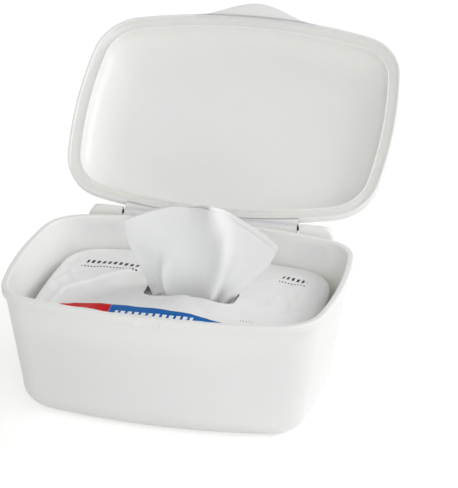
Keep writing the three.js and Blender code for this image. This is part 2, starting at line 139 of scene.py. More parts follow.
def printedFilm():
    # White laminated film, gravure printed: nearly matt, with crinkles that break up the light
    made, tree = newMaterial("printed laminate film")
    look = {
        "film": colour("#fafbfa"),
        "red": colour("#dc0614"),
        "blue": colour("#0066b8"),
        "ink": colour("#2c2d30"),
        "crinkleScale": 1 / (9 * mm),
        "edge": 0.25,  # softness of a printed edge, in mm
        "roughLow": 0.26,
        "roughHigh": 0.4,
    }
    place = addNode(tree, "ShaderNodeTexCoord").outputs["Object"]

    def inside(field):
        # 1 where the mesh's own field, a distance in mm, is above zero
        value = addNode(tree, "ShaderNodeAttribute", attribute_name=field).outputs["Fac"]
        return addNode(
            tree,
            "ShaderNodeMapRange",
            {"Value": value, "From Min": -look["edge"], "From Max": look["edge"]},
        ).outputs["Result"]

    def overPrint(below, ink, mask):
        mixed = addNode(tree, "ShaderNodeMix", {"Factor": mask, "A": below, "B": ink}, data_type="RGBA")
        return mixed.outputs["Result"]

    def dashes(origin, turn, width, depth, pitch, row, gap):
        # rows of short plain bars that fill a box on the top face
        spot = addNode(
            tree,
            "ShaderNodeMapping",
            {
                "Vector": place,
                "Location": (origin[0] * mm, origin[1] * mm, 0),
                "Rotation": (0, 0, math.radians(turn)),
                "Scale": (mm, mm, mm),
            },
            vector_type="TEXTURE",
        ).outputs["Vector"]
        bars = addNode(
            tree,
            "ShaderNodeTexBrick",
            {
                "Vector": spot,
                "Scale": 1.0,
                "Mortar Size": gap,
                "Mortar Smooth": 0.1,
                "Brick Width": pitch,
                "Row Height": row,
            },
            offset=0.37,
            squash=0.6,
            squash_frequency=2,
        ).outputs["Fac"]
        axes = addNode(tree, "ShaderNodeSeparateXYZ", {"Vector": spot})
        mask = addNode(tree, "ShaderNodeMath", {0: 1.0, 1: bars}, operation="SUBTRACT").outputs["Value"]
        for axis, limit in (("X", width), ("Y", depth)):
            for operation, bound in (("GREATER_THAN", 0.0), ("LESS_THAN", limit)):
                test = addNode(
                    tree, "ShaderNodeMath", {0: axes.outputs[axis], 1: float(bound)}, operation=operation
                ).outputs["Value"]
                mask = addNode(
                    tree, "ShaderNodeMath", {0: mask, 1: test}, operation="MULTIPLY"
                ).outputs["Value"]
        top = addNode(tree, "ShaderNodeAttribute", attribute_name="topFace").outputs["Fac"]
        return addNode(tree, "ShaderNodeMath", {0: mask, 1: top}, operation="MULTIPLY").outputs["Value"]

    shade = overPrint(look["film"], look["red"], inside("redBand"))
    shade = overPrint(shade, look["blue"], inside("blueBand"))
    for mark in printedMarks:
        shade = overPrint(shade, look[mark["ink"]], dashes(*mark["box"]))
    crinkle = addNode(
        tree, "ShaderNodeTexNoise", {"Vector": place, "Scale": look["crinkleScale"], "Detail": 4.0}
    )
    bump = addNode(
        tree, "ShaderNodeBump", {"Height": crinkle.outputs["Fac"], "Strength": 0.35, "Distance": 0.6 * mm}
    )
    rough = addNode(
        tree,
        "ShaderNodeMapRange",
        {"Value": crinkle.outputs["Fac"], "To Min": look["roughLow"], "To Max": look["roughHigh"]},
    )
    shader = addNode(
        tree,
        "ShaderNodeBsdfPrincipled",
        {
            "Base Color": shade,
            "Roughness": rough.outputs["Result"],
            "Normal": bump.outputs["Normal"],
            "IOR": 1.5,
            "Specular IOR Level": 0.12,  # below real film, so that the print keeps its colour
            "Subsurface Weight": 0.08,
            "Subsurface Radius": (1.0, 1.0, 0.9),
            "Subsurface Scale": 1 * mm,
        },
    )
    addNode(tree, "ShaderNodeOutputMaterial", {"Surface": shader.outputs["BSDF"]})
    return made


def spunlaceFleece():
    # Damp spunlaced viscose: matt white, soft between folds, with a fine matted fibre grain
    made, tree = newMaterial("spunlaced viscose fleece")
    look = {
        "dry": colour("#fdfdfd"),
        "damp": colour("#f8faf9"),
        "fibreScale": 1 / (1.1 * mm),  # fibre clumps of 0.4 mm, drawn at 1.1 mm so that they show
        "clothScale": 1 / (16 * mm),
    }
    place = addNode(tree, "ShaderNodeTexCoord").outputs["Object"]
    fibre = addNode(
        tree,
        "ShaderNodeTexNoise",
        {"Vector": place, "Scale": look["fibreScale"], "Detail": 3.0, "Distortion": 0.6},
    )
    cloth = addNode(tree, "ShaderNodeTexNoise", {"Vector": place, "Scale": look["clothScale"], "Detail": 2.0})
    tint = addNode(
        tree,
        "ShaderNodeMix",
        {"Factor": cloth.outputs["Fac"], "A": look["dry"], "B": look["damp"]},
        data_type="RGBA",
    )
    bump = addNode(
        tree, "ShaderNodeBump", {"Height": fibre.outputs["Fac"], "Strength": 0.3, "Distance": 0.2 * mm}
    )
    shader = addNode(
        tree,
        "ShaderNodeBsdfPrincipled",
        {
            "Base Color": tint.outputs["Result"],
            "Roughness": 0.85,
            "Normal": bump.outputs["Normal"],
            "IOR": 1.4,
            "Specular IOR Level": 0.3,
            "Sheen Weight": 0.15,
            "Sheen Roughness": 0.5,
            "Subsurface Weight": 0.12,
            "Subsurface Radius": (1.0, 1.0, 1.0),
            "Subsurface Scale": 0.8 * mm,
        },
    )
    addNode(tree, "ShaderNodeOutputMaterial", {"Surface": shader.outputs["BSDF"]})
    return made


def pinGapShadeSteel():
    # Drawn steel pin coloured near black as painted shade for the deep gap between ear and lid barrel, with a
    # soft glint along its length
    made, tree = newMaterial("steel pin painted dark as gap shade")
    look = {"dark": colour("#141518"), "gapShadeMottle": colour("#26282b"), "drawnScale": 1 / (0.8 * mm)}
    place = addNode(tree, "ShaderNodeTexCoord").outputs["Object"]
    drawn = addNode(tree, "ShaderNodeTexNoise", {"Vector": place, "Scale": look["drawnScale"], "Detail": 2.0})
    tint = addNode(
        tree,
        "ShaderNodeMix",
        {"Factor": drawn.outputs["Fac"], "A": look["dark"], "B": look["gapShadeMottle"]},
        data_type="RGBA",
    )
    shader = addNode(
        tree,
        "ShaderNodeBsdfPrincipled",
        {"Base Color": tint.outputs["Result"], "Metallic": 0.6, "Roughness": 0.38},
    )
    addNode(tree, "ShaderNodeOutputMaterial", {"Surface": shader.outputs["BSDF"]})
    return made


def arcPoints(centreX, centreY, radius, start, end, steps):
    turn = np.linspace(start, end, steps, endpoint=False)
    return np.column_stack([centreX + radius * np.cos(turn), centreY + radius * np.sin(turn)])


def bowedRing(halfLength, halfDepth, longRadius, shortRadius, corner, facets):
    # a rectangle with bowed sides: side arcs run into corner arcs without a break
    longCentre = np.array([0, halfDepth - longRadius])
    shortCentre = np.array([halfLength - shortRadius, 0])
    toLong, toShort = longRadius - corner, shortRadius - corner
    between = shortCentre - longCentre
    gap = np.linalg.norm(between)
    unit = between / gap
    along = (toLong**2 - toShort**2 + gap**2) / (2 * gap)
    aside = math.sqrt(max(toLong**2 - along**2, 0))
    centre = longCentre + unit * along + np.array([unit[1], -unit[0]]) * aside
    longEnd = math.atan2(centre[1] - longCentre[1], centre[0])
    shortEnd = math.atan2(centre[1], centre[0] - shortCentre[0])
    quarter = np.vstack(
        [
            arcPoints(shortCentre[0], 0, shortRadius, 0, shortEnd, facets["short"] // 2),
            arcPoints(*centre, corner, shortEnd, longEnd, facets["round"]),
            arcPoints(0, longCentre[1], longRadius, longEnd, math.pi / 2, facets["long"] // 2),
            [[0, halfDepth]],
        ]
    )
    back = np.vstack([quarter, quarter[:-1][::-1] * [-1, 1]])
    return np.vstack([back, back[1:-1][::-1] * [1, -1]])


def rimRing(inset, z, corner):
    ring = bowedRing(
        rim["halfLength"] - inset,
        rim["halfDepth"] - inset,
        rim["longRadius"] - inset,
        rim["shortRadius"] - inset,
        max(corner, rim["smallestCorner"]),
        rim["facets"],
    )
    return np.column_stack([ring, np.full(len(ring), z)])


def quarterRound(centreX, centreZ, radiusX, radiusZ, start, end, steps):
    turn = np.radians(np.linspace(start, end, steps + 1))
    return [(centreX + radiusX * math.cos(t), centreZ + radiusZ * math.sin(t)) for t in turn]


def skin(rings, startCap=True, endCap=True):
    # quads between rings of equal length, with a flat cap at each end
    count = len(rings[0])
    points = np.vstack(rings)
    faces = [
        (r * count + i, r * count + (i + 1) % count, (r + 1) * count + (i + 1) % count, (r + 1) * count + i)
        for r in range(len(rings) - 1)
        for i in range(count)
    ]
    if startCap:
        faces.append(tuple(reversed(range(count))))
    if endCap:
        faces.append(tuple(range((len(rings) - 1) * count, len(rings) * count)))
    return points, faces


def together(*parts):
    points, faces, start = [], [], 0
    for some, own in parts:
        points.append(some)
        faces += [tuple(i + start for i in face) for face in own]
        start += len(some)
    return np.vstack(points), faces


def makePiece(name, part, material, body, stands=(), smoothAngle=38, fields=None):
    points, faces = part
    mesh = bpy.data.meshes.new(name)
    mesh.from_pydata((np.asarray(points) * mm).tolist(), [], faces)
    mesh.validate()
    mesh.polygons.foreach_set("use_smooth", [True] * len(mesh.polygons))
    mesh.set_sharp_from_angle(angle=math.radians(smoothAngle))
    for field, values in (fields or {}).items():
        mesh.attributes.new(field, "FLOAT", "POINT").data.foreach_set("value", np.asarray(values, np.float32))
    mesh.materials.append(material)
    piece = bpy.data.objects.new(name, mesh)
    bpy.context.scene.collection.objects.link(piece)
    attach(piece, body)
    if stands:
        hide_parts(*stands)
    print("made", name, len(mesh.polygons), "faces")
    return piece


tub = {
    "height": 85.5,
    "wall": 2,
    "floor": 2.4,
    "draft": 0.153,
    "footRadius": 19,
    "footCorner": 17,
    "lipHeight": 5.4,
    "lipProud": 2,
    "lipRound": 0.9,
    "notchWidth": 15,
    "notchDepth": 0.9,
    "notchTop": 1.55,  # the recess ends here, in lip rounds below the rim
    "lipSteps": [1.6, 1.5],  # rings just below and just above that, so that its top edge is crisp
    "underLip": [(0.1, -0.1), (0.4, 0)],  # out from the wall and up from the lip's foot
    "lipEdge": [(0.12, 0.2), (0, 0.7)],  # in from the lip's face and up from its foot
    "steps": {"foot": 22, "innerFoot": 16, "wall": 10, "lip": 6},
}

hinge = {
    "y": 79,
    "z": 84.1,
    "halfSpan": 57.4,
    "barrelRadius": 3,
    "endGap": 1.6,
    "earLength": 22,
    "earRadius": 3.5,
    "earRound": 8,
    "bracketHeight": 16,
    "footDepth": 4,  # how far the bracket's foot lies in from the rim's outline
    "ledge": 80.3,  # height of the level face between the boss and the rim
    "ledgeDepth": 3.2,
    "rootDepth": 3.6,
    "rootRise": 2,
    "steps": {"long": 12, "end": 14, "under": 9, "over": 15},
}


def wallInset(z):
    return tub["lipProud"] + tub["draft"] * (tub["height"] - tub["lipHeight"] - z)


def tubCorner(z, inset):
    share = z / tub["height"]
    return tub["footCorner"] * (1 - share) + rim["corner"] * share - min(inset, tub["wall"])


def backEdge(x):
    # the rim's back outline over x
    ring = rimRing(0, 0, rim["corner"])
    back = ring[(ring[:, 1] > 0)]
    back = back[np.argsort(back[:, 0])]
    return np.interp(x, back[:, 0], back[:, 1])


def frontEdge(x, inset=0):
    radius = rim["longRadius"] - inset
    return -(np.sqrt(radius**2 - np.square(x)) + rim["halfDepth"] - inset - radius)


def tubShell():
    height, wall, floor = tub["height"], tub["wall"], tub["floor"]
    foot, lipFoot, lipRound = tub["footRadius"], height - tub["lipHeight"], tub["lipRound"]
    innerFoot = foot - wall
    footInset = wallInset(foot)
    steps, proud = tub["steps"], tub["lipProud"]
    outer = [
        *quarterRound(footInset + foot, foot, foot, foot, 270, 180, steps["foot"]),
        *[(wallInset(z), z) for z in np.linspace(foot, lipFoot - 0.5, steps["wall"])[1:]],
        *[(proud - outward, lipFoot + rise) for outward, rise in tub["underLip"]],
        (lipRound * 0.5, lipFoot),
        *[(inset, lipFoot + rise) for inset, rise in tub["lipEdge"]],
        *[(0, height - lipRound * share) for share in tub["lipSteps"]],
        *quarterRound(lipRound, height - lipRound, lipRound, lipRound, 180, 90, steps["lip"]),
    ]
    inner = [
        *quarterRound(proud + wall - lipRound, height - lipRound, lipRound, lipRound, 90, 0, steps["lip"]),
        (proud + wall, height - lipRound * tub["lipSteps"][0]),
        *[(wallInset(z) + wall, z) for z in np.linspace(lipFoot - 1, foot, steps["wall"])[:-1]],
        *quarterRound(
            footInset + foot, floor + innerFoot, innerFoot, innerFoot, 180, 270, steps["innerFoot"]
        ),
    ]
    rings = [rimRing(inset, z, tubCorner(z, inset)) for inset, z in [*outer, *inner]]
    points, faces = skin(rings)
    # the recess for the catch is pressed into the front of the lip
    x, y, z = points.T
    pressed = (np.abs(x) < tub["notchWidth"] / 2) & (y < -rim["halfDepth"] + tub["notchDepth"])
    pressed &= (z < height - lipRound * tub["notchTop"]) & (z > lipFoot - 1)
    points[pressed, 1] = -rim["halfDepth"] + tub["notchDepth"]
    return points, faces


def ear(side):
    # boss behind the rim on a bracket from the back wall, its outer end rounded off
    radius, endRound, ledge, steps = hinge["earRadius"], hinge["earRound"], hinge["ledge"], hinge["steps"]
    top = hinge["z"] + radius
    foot = hinge["z"] - hinge["bracketHeight"]
    start = hinge["halfSpan"] + hinge["endGap"]
    end = start + hinge["earLength"]
    tapered = end - endRound * (1 - np.sin(np.radians(np.linspace(6, 90, steps["end"]))))
    rings = []
    for x in [*np.linspace(start, end - endRound, steps["long"]), *tapered]:
        edge = backEdge(x)
        turned = max(0, (x - (end - endRound)) / endRound)
        fall = 1 - math.sqrt(max(1 - min(turned, 1) ** 2, 0))
        high = top - fall * radius * 2
        low = foot + fall * endRound
        under = [
            (
                (1 - t) ** 2 * (edge - hinge["footDepth"])
                + 2 * t * (1 - t) * hinge["y"]
                + t**2 * (hinge["y"] + radius),
                (1 - t) ** 2 * foot + 2 * t * (1 - t) * (foot + radius) + t**2 * hinge["z"],
            )
            for t in np.linspace(0, 1, steps["under"])
        ]
        turn = np.linspace(0, math.pi, steps["over"])[1:]
        over = [(hinge["y"] + radius * math.cos(t), hinge["z"] + radius * math.sin(t)) for t in turn]
        within = [
            (hinge["y"] - radius, ledge),
            (edge - hinge["ledgeDepth"], ledge),
            (edge - hinge["rootDepth"], foot + hinge["rootRise"]),
        ]
        loop = [(side * x, y, min(max(z, low), high)) for y, z in [*under, *over, *within]]
        rings.append(np.array(loop if side > 0 else loop[::-1]))
    return skin(rings)


lid = {
    "openAngle": 143,
    "skirtFoot": 81.5,
    "skirtWall": 1.6,
    "skirtClearance": 1,
    "cornerEase": 3,
    "grooveRoof": 85.9,
    "flangeTop": 87.6,
    "ribOuter": 4.7,
    "ribWall": 1.6,
    "ribFoot": 83.1,
    "domeHeight": 11,
    "domeReach": 24,
    "domeCornerShare": 0.75,
    "smallestCorner": 8,
    "panelWall": 1.7,
    "edgeRound": 1.2,
    "tabHalfWidth": 41,
    "tabReach": 10.5,
    "tabThickness": 2.2,
    "ridgeHalfWidth": 20,
    "ridgeReach": 0.3,
    "ridgeDrop": 1.2,
    "ridgeFace": 0.5,
    "skirtEdge": 0.3,
    "flatBeforeDome": 1.5,
    "grooveFillet": [(0, 0.6), (0.2, 0.15), (0.7, 0)],  # in from the groove's wall and down from its roof
    "steps": {"dome": 30, "rib": 8, "edge": 6, "domeTop": 24, "tab": 120, "tabEdge": 12, "ridge": 40},
    "barrelSteps": {"round": 40, "web": 60},
}


def lidShell():
    ease = rim["corner"] + lid["cornerEase"]
    rib, roof, top = lid["ribOuter"], lid["grooveRoof"], lid["flangeTop"]
    inside = rib + lid["ribWall"]
    out = -lid["skirtClearance"] - lid["skirtWall"]
    domeRise = roof + lid["domeHeight"] + lid["panelWall"] - top
    half = lid["ribWall"] / 2
    reach, edge, steps = lid["domeReach"], lid["edgeRound"], lid["steps"]
    gap, chamfer, fillet = lid["skirtClearance"], lid["skirtEdge"], lid["grooveFillet"]

    def plan(inset):
        if inset <= 0:
            return ease - inset
        return max(ease - inset * lid["domeCornerShare"], lid["smallestCorner"])

    under = [
        *quarterRound(inside + reach, roof - 1, reach, lid["domeHeight"] + 1, 90, 180, steps["dome"]),
        (inside, lid["ribFoot"] + half),
        *quarterRound(rib + half, lid["ribFoot"] + half, half, half, 0, -180, steps["rib"])[1:],
        *[(rib - inward, roof - drop) for inward, drop in fillet],
        *[(inward - gap, roof - drop) for inward, drop in reversed(fillet)],
        (-gap, lid["skirtFoot"] + chamfer),
        (-gap - chamfer, lid["skirtFoot"]),
    ]
    # the rounds start a few degrees in, so that no ring doubles the one before it
    over = [
        (out + chamfer, lid["skirtFoot"]),
        (out, lid["skirtFoot"] + chamfer),
        (out, top - edge),
        *quarterRound(out + edge, top - edge, edge, edge, 165, 90, steps["edge"]),
        (rib - lid["flatBeforeDome"], top),
        *quarterRound(rib + reach, top, reach, domeRise, 172, 90, steps["domeTop"]),
    ]
    return skin([rimRing(inset, z, plan(inset)) for inset, z in [*under, *over]])


def hingeBarrel():
    reach, radius = hinge["halfSpan"], hinge["barrelRadius"]
    facets = lid["barrelSteps"]["round"]
    turn = np.linspace(0, 2 * math.pi, facets, endpoint=False)
    section = np.column_stack([hinge["y"] + radius * np.cos(turn), hinge["z"] + radius * np.sin(turn)])
    barrel = skin([np.column_stack([np.full(facets, x), section]) for x in (-reach, reach)])
    rings = []
    for x in np.linspace(-reach, reach, lid["barrelSteps"]["web"]):
        inner = backEdge(x) + lid["skirtClearance"] + lid["skirtWall"] / 2
        corners = [(inner, lid["skirtFoot"]), (hinge["y"], lid["skirtFoot"])]
        corners += [(hinge["y"], hinge["z"] + radius), (inner, hinge["z"] + radius)]
        rings.append(np.array([(x, y, z) for y, z in corners]))
    return together(barrel, skin(rings))


def thumbTab():
    # plate that swells from the skirt's foot in one smooth wave, its free edge fully rounded
    half = lid["tabThickness"] / 2
    middle = lid["skirtFoot"] + half
    rings = []
    for x in np.linspace(-lid["tabHalfWidth"], lid["tabHalfWidth"], lid["steps"]["tab"]):
        swell = lid["tabReach"] * math.cos(math.pi * x / (2 * lid["tabHalfWidth"])) ** 2
        root = frontEdge(x, -lid["skirtClearance"] - lid["skirtWall"] / 2)
        tip = frontEdge(x, -lid["skirtClearance"] - lid["skirtWall"]) - swell
        turn = np.radians(np.linspace(90, 270, lid["steps"]["tabEdge"]))
        edge = [(min(tip + half + half * math.cos(t), root), middle + half * math.sin(t)) for t in turn]
        loop = [(root, middle + half), *edge, (root, middle - half)]
        rings.append(np.array([(x, y, z) for y, z in loop]))
    return skin(rings)


def frontCatch():
    rings = []
    for x in np.linspace(-lid["ridgeHalfWidth"], lid["ridgeHalfWidth"], lid["steps"]["ridge"]):
        root = frontEdge(x, -lid["skirtClearance"] - lid["skirtEdge"])
        tip = frontEdge(x, -lid["ridgeReach"])
        low = lid["skirtFoot"]
        loop = [(root, low), (tip - lid["skirtEdge"], low), (tip, low + lid["ridgeFace"])]
        loop += [(root, low + lid["ridgeDrop"])]
        rings.append(np.array([(x, y, z) for y, z in loop]))
    return skin(rings)


def openLid(part):
    points, faces = part
    axis = np.array([0, hinge["y"], hinge["z"]])
    turn = np.array(Matrix.Rotation(math.radians(-lid["openAngle"]), 3, "X"))
    return (points - axis) @ turn.T + axis, faces


pouch = {
    "halfLength": 90,
    "halfDepth": 66.5,
    "longRadius": 400,
    "shortRadius": 450,
    "corner": 24,
    "bottom": 2.7,
    "shoulderHeight": 66,
    "footRound": 21,
    "shoulderRound": 6,
    "crown": 4.5,
    "crownPowers": (2.4, 2.2),
    "cornerShare": 0.35,
    "smallestCorner": 5,
    "film": 0.8,
    "facets": {"long": 150, "short": 70, "round": 22},
    "steps": {"foot": 14, "wall": 14, "shoulder": 9, "top": 74},
    "edgeWaves": 0.35,  # share of the waves' height at the shoulder
    "wavesGrow": 8,  # they are whole within an eighth of the way to the slot
    "slotLip": 0.6,
}

# The slot has the size of the CAD's: a smaller one cuts into the wipe at rest
slot = {
    "x": 8.2,
    "y": -2.1,
    "halfLength": 29.6,
    "halfDepth": 9.8,
    "squareness": 6,
    "pull": 2.6,  # how far the wipe lifts the film at the slot
    "pullFrom": 0.6,
    "pullOver": 9,
}

# A leaf-shaped band of colour near the front edge: red to the left of the split, blue to the right
band = {
    "back": [(-77, -28.5), (-60, -27.1), (-38, -26.9), (-9, -27.6), (15, -30.8), (38, -36)],
    "front": [(-77, -28.5), (-56, -32.7), (-36, -36.2), (15, -38.2), (38, -36)],
    "split": -36,
    "outside": -5.0,  # field value where nothing is printed
}

# Boxes of plain bars: corner, turn, width, depth, bar pitch, row height, gap, in mm and degrees
printedMarks = [
    {"ink": "film", "box": ((-32, -38.6), -1, 50, 5.6, 7.4, 5.6, 0.9)},
    {"ink": "ink", "box": ((-70, 30.5), -4, 37, 6, 6.2, 6, 0.9)},
    {"ink": "ink", "box": ((-72, 25.9), -4, 38, 2.2, 3.6, 2.2, 0.5)},
    {"ink": "ink", "box": ((57, 36), -4, 16, 6, 5.4, 6, 0.9)},
    {"ink": "ink", "box": ((56, 31.4), -4, 17, 2.2, 3.4, 2.2, 0.5)},
    {"ink": "ink", "box": ((46, -30.4), -3, 9, 2.6, 3.1, 2.6, 0.8)},
]

# Ridge in the slack film, from the left end round to the back of the slot
ridge = {
    "points": [(-79, -40), (-75, -20), (-74, -6), (-66, 2.5), (-56, 11.5), (-43, 21.5), (-30, 30)],
    "drop": 1.5,
    "dropOver": 3.5,
    "fadeOver": 30,
    "crest": 0.7,
    "crestWidth": 1.8,
}

# Heights in mm of the waves and creases in the film; the short ones start at endFrom from the middle
slack = {
    "broad": 0.75,
    "fine": 0.9,
    "fineFrom": 30,
    "fineOver": 40,
    "sharp": 0.7,
    "short": 1.3,
    "endFrom": 52,
    "endOver": 22,
    "depthShare": 1.6,  # distances from the slot count more in depth
}


def crownAt(x, y):
    across = np.minimum(np.abs(x) / pouch["halfLength"], 1)
    deep = np.minimum(np.abs(y) / pouch["halfDepth"], 1)
    long, short = pouch["crownPowers"]
    return pouch["crown"] * (1 - across**long) * (1 - deep**short)


def packRing(inset, z):
    every = inset + tub["draft"] * max(pouch["shoulderHeight"] - z, 0)
    ring = bowedRing(
        pouch["halfLength"] - every,
        pouch["halfDepth"] - every,
        pouch["longRadius"] - every,
        pouch["shortRadius"] - every,
        max(pouch["corner"] - every * pouch["cornerShare"], pouch["smallestCorner"]),
        pouch["facets"],
    )
    return np.column_stack([ring, np.full(len(ring), z)])


def slotRing(around):
    # the slot's edge in the direction of each point of another ring
    way = around[:, :2] - [slot["x"], slot["y"]]
    way = way / np.linalg.norm(way, axis=1)[:, None]
    power = slot["squareness"]
    wide, deep = np.abs(way[:, 0] / slot["halfLength"]), np.abs(way[:, 1] / slot["halfDepth"])
    reach = (wide**power + deep**power) ** (-1 / power)
    return np.array([slot["x"], slot["y"]]) + way * reach[:, None]


def ridgeDrop(points):
    # how far the slack film sinks on the front side of its ridge
    line = np.array(ridge["points"], float)
    best = np.full(len(points), 1e9)
    side = np.zeros(len(points))
    for a, b in zip(line[:-1], line[1:]):
        way = b - a
        t = np.clip(((points - a) @ way) / (way @ way), 0, 1)
        off = points - (a + t[:, None] * way)
        far = np.linalg.norm(off, axis=1)
        nearer = far < best
        best[nearer] = far[nearer]
        side[nearer] = (way[0] * off[:, 1] - way[1] * off[:, 0])[nearer]
    fall = np.where(side < 0, 1 - np.exp(-best / ridge["dropOver"]), 0)
    fade = np.exp(-best / ridge["fadeOver"])
    return ridge["drop"] * fall * fade - ridge["crest"] * np.exp(-((best / ridge["crestWidth"]) ** 2))


def crinkle(points):
    # slack film: broad waves, creases that run towards the slot and short ones at the ends
    # the divisors are wavelengths in mm, and each last number picks its own part of the noise
    out = np.zeros(len(points))
    for i, (x, y) in enumerate(points):
        way = math.atan2(y - slot["y"], x - slot["x"])
        far = math.hypot(x - slot["x"], (y - slot["y"]) * slack["depthShare"])
        broad = noise.noise(Vector((x / 26, y / 20, 3.1)))
        fine = noise.noise(Vector((way * 3.4, far / 45, 8.3)))
        fine *= math.exp(-max(far - slack["fineFrom"], 0) / slack["fineOver"])
        sharp = abs(noise.noise(Vector((x / 15 + 5, y / 12, 5.7))))
        beyond = max(far - slot["halfLength"] * slot["pullFrom"], 0)
        pulled = slot["pull"] * math.exp(-beyond / slot["pullOver"])
        atEnd = min(max((abs(x) - slack["endFrom"]) / slack["endOver"], 0), 1)
        short = abs(noise.noise(Vector((x / 8, y / 10 + 3, 2.4))))
        out[i] = slack["broad"] * broad + slack["fine"] * fine - slack["sharp"] * sharp
        out[i] += pulled - slack["short"] * atEnd * short
    return out


def pouchSkin():
    foot, shoulder = pouch["footRound"], pouch["shoulderRound"]
    high, counts = pouch["shoulderHeight"], pouch["steps"]
    sides = quarterRound(foot, pouch["bottom"] + foot, foot, foot, 270, 180, counts["foot"])
    sides += [(0, z) for z in np.linspace(pouch["bottom"] + foot, high - shoulder, counts["wall"])[1:-1]]
    sides += quarterRound(shoulder, high - shoulder, shoulder, shoulder, 180, 90, counts["shoulder"])
    rings = [packRing(inset, z) for inset, z in sides]
    outer = rings[-1][:, :2]
    inner = slotRing(outer)
    steps = np.linspace(0, 1, counts["top"] + 1)[1:]
    tops = [outer + (inner - outer) * t for t in steps]
    edge = rings[-1][:, 2]
    for top in tops:
        rings.append(np.column_stack([top, edge]))
    # the film's waves grow from nothing on the sides to their full height a little way in
    atEdge = pouch["edgeWaves"]
    calm = [0.0] * (len(sides) - 1) + [atEdge] + [min(1, atEdge + t * pouch["wavesGrow"]) for t in steps]
    shown = [0.0] * (len(sides) - 4) + [1.0] * 4 + [1.0] * len(steps)
    for ring, amount in zip(rings, calm):
        flat = ring[:, :2]
        lift = crownAt(ring[:, 0], ring[:, 1]) * np.clip((ring[:, 2] - high + shoulder) / shoulder, 0, 1)
        if amount:
            lift = lift + amount * (crinkle(flat) - ridgeDrop(flat))
        ring[:, 2] += lift
    rings.append(rings[-1] - [0, 0, pouch["slotLip"]])
    points, faces = skin(rings, endCap=False)
    x, y = points[:, 0], points[:, 1]
    inBand = np.minimum(
        np.interp(x, *zip(*band["back"])) - y,
        y - np.interp(x, *zip(*band["front"])),
    )
    top = np.repeat([*shown, 1.0], len(outer))
    inBand = np.where(top > 0, inBand, band["outside"])
    fields = {
        "redBand": np.minimum(inBand, band["split"] - x),
        "blueBand": np.minimum(inBand, x - band["split"]),
        "topFace": top,
    }
    return (points, faces), fields


fin = {
    "halfDepth": 43,
    "height": 17,
    "middle": 36,
    "thickness": 0.5,
    "crimp": 0.35,
    "crimps": 10,
    "lean": 1.5,
    "points": 81,
    "rows": 24,
}


def endFin(side):
    # crimped end seal folded up against the pouch's end
    root = pouch["halfLength"] - pouch["film"] - tub["draft"] * (pouch["shoulderHeight"] - fin["middle"])
    reach = fin["lean"] + tub["draft"] * fin["height"]
    t = np.linspace(0, 1, fin["points"])
    face = root + reach * t + fin["crimp"] * t * np.cos(t * fin["crimps"] * math.pi)
    z = fin["middle"] + fin["height"] * t
    rings = []
    for y in np.linspace(-fin["halfDepth"], fin["halfDepth"], fin["rows"]):
        level = np.full(fin["points"], y)
        outside = np.column_stack([side * (face + fin["thickness"]), level, z])
        within = np.column_stack([side * face, level, z])[::-1]
        loop = np.vstack([outside, within])
        rings.append(loop[::-1] if side > 0 else loop)
    return skin(rings)


wipe = {
    "thickness": 0.45,
    "layerGap": 0.9,
    "foot": 64.4,
    "across": 150,
    "up": 64,
    "foldShare": 12,  # the layers part over a twelfth of the width
    "backReach": 3.4,  # how far the back layer stands above the front one
    "backFrom": 0.3,
    "backOver": 0.4,
    "backParts": 1.5,
}

# Each row runs from the wipe's folded left edge to its right edge: x, y and height above the slot
wipeRows = [
    [(-17, 0, 0), (-14, 5, 0), (-9, 4, 0), (-6, -6, 0), (0, 2, 0), (7, 4, 0),
     (14, 2, 0), (21, -10, 0), (24, 0, 0), (28, -5, 0), (31, 0, 0)],
    [(-25, -3, 22), (-20, 5, 17), (-13, 4, 17), (-9, -6, 19), (0, 2, 19), (9, 3, 18),
     (18, -1, 17), (27, -9, 18), (32, 0, 17), (38, -3, 16), (44, -3, 16)],
    [(-31.5, -6, 39), (-24, -3, 37.5), (-15, 0, 37), (-6, 2.5, 37), (2, 4, 37), (11, 3, 37),
     (21, -2, 36), (30, -9, 37), (36, -1, 34), (46, 1, 32), (57, 1, 29)],
    [(-33, -7, 53), (-25, -3, 56), (-15, 2, 58.5), (-3, 4.5, 61), (7, 3.5, 61.5), (15, -2, 64.5),
     (22, -8, 66), (29, 0, 60), (39, 2, 53), (51, 3, 45.5), (61, 2, 38)],
]


def curveThrough(points, shares):
    # centripetal spline through the points
    knots = np.array(points, float)
    knots = np.vstack([2 * knots[0] - knots[1], knots, 2 * knots[-1] - knots[-2]])
    last = len(points) - 1
    out = []
    for share in shares:
        at = min(int(share * last), last - 1)
        t = share * last - at
        p0, p1, p2, p3 = knots[at : at + 4]
        d0, d1, d2 = (max(np.linalg.norm(b - a) ** 0.5, 1e-4) for a, b in ((p0, p1), (p1, p2), (p2, p3)))
        slope1 = ((p1 - p0) / d0 - (p2 - p0) / (d0 + d1) + (p2 - p1) / d1) * d1
        slope2 = ((p2 - p1) / d1 - (p3 - p1) / (d1 + d2) + (p3 - p2) / d2) * d1
        squared = 3 * (p2 - p1) - 2 * slope1 - slope2
        cubed = 2 * (p1 - p2) + slope1 + slope2
        out.append(p1 + slope1 * t + squared * t**2 + cubed * t**3)
    return np.array(out)


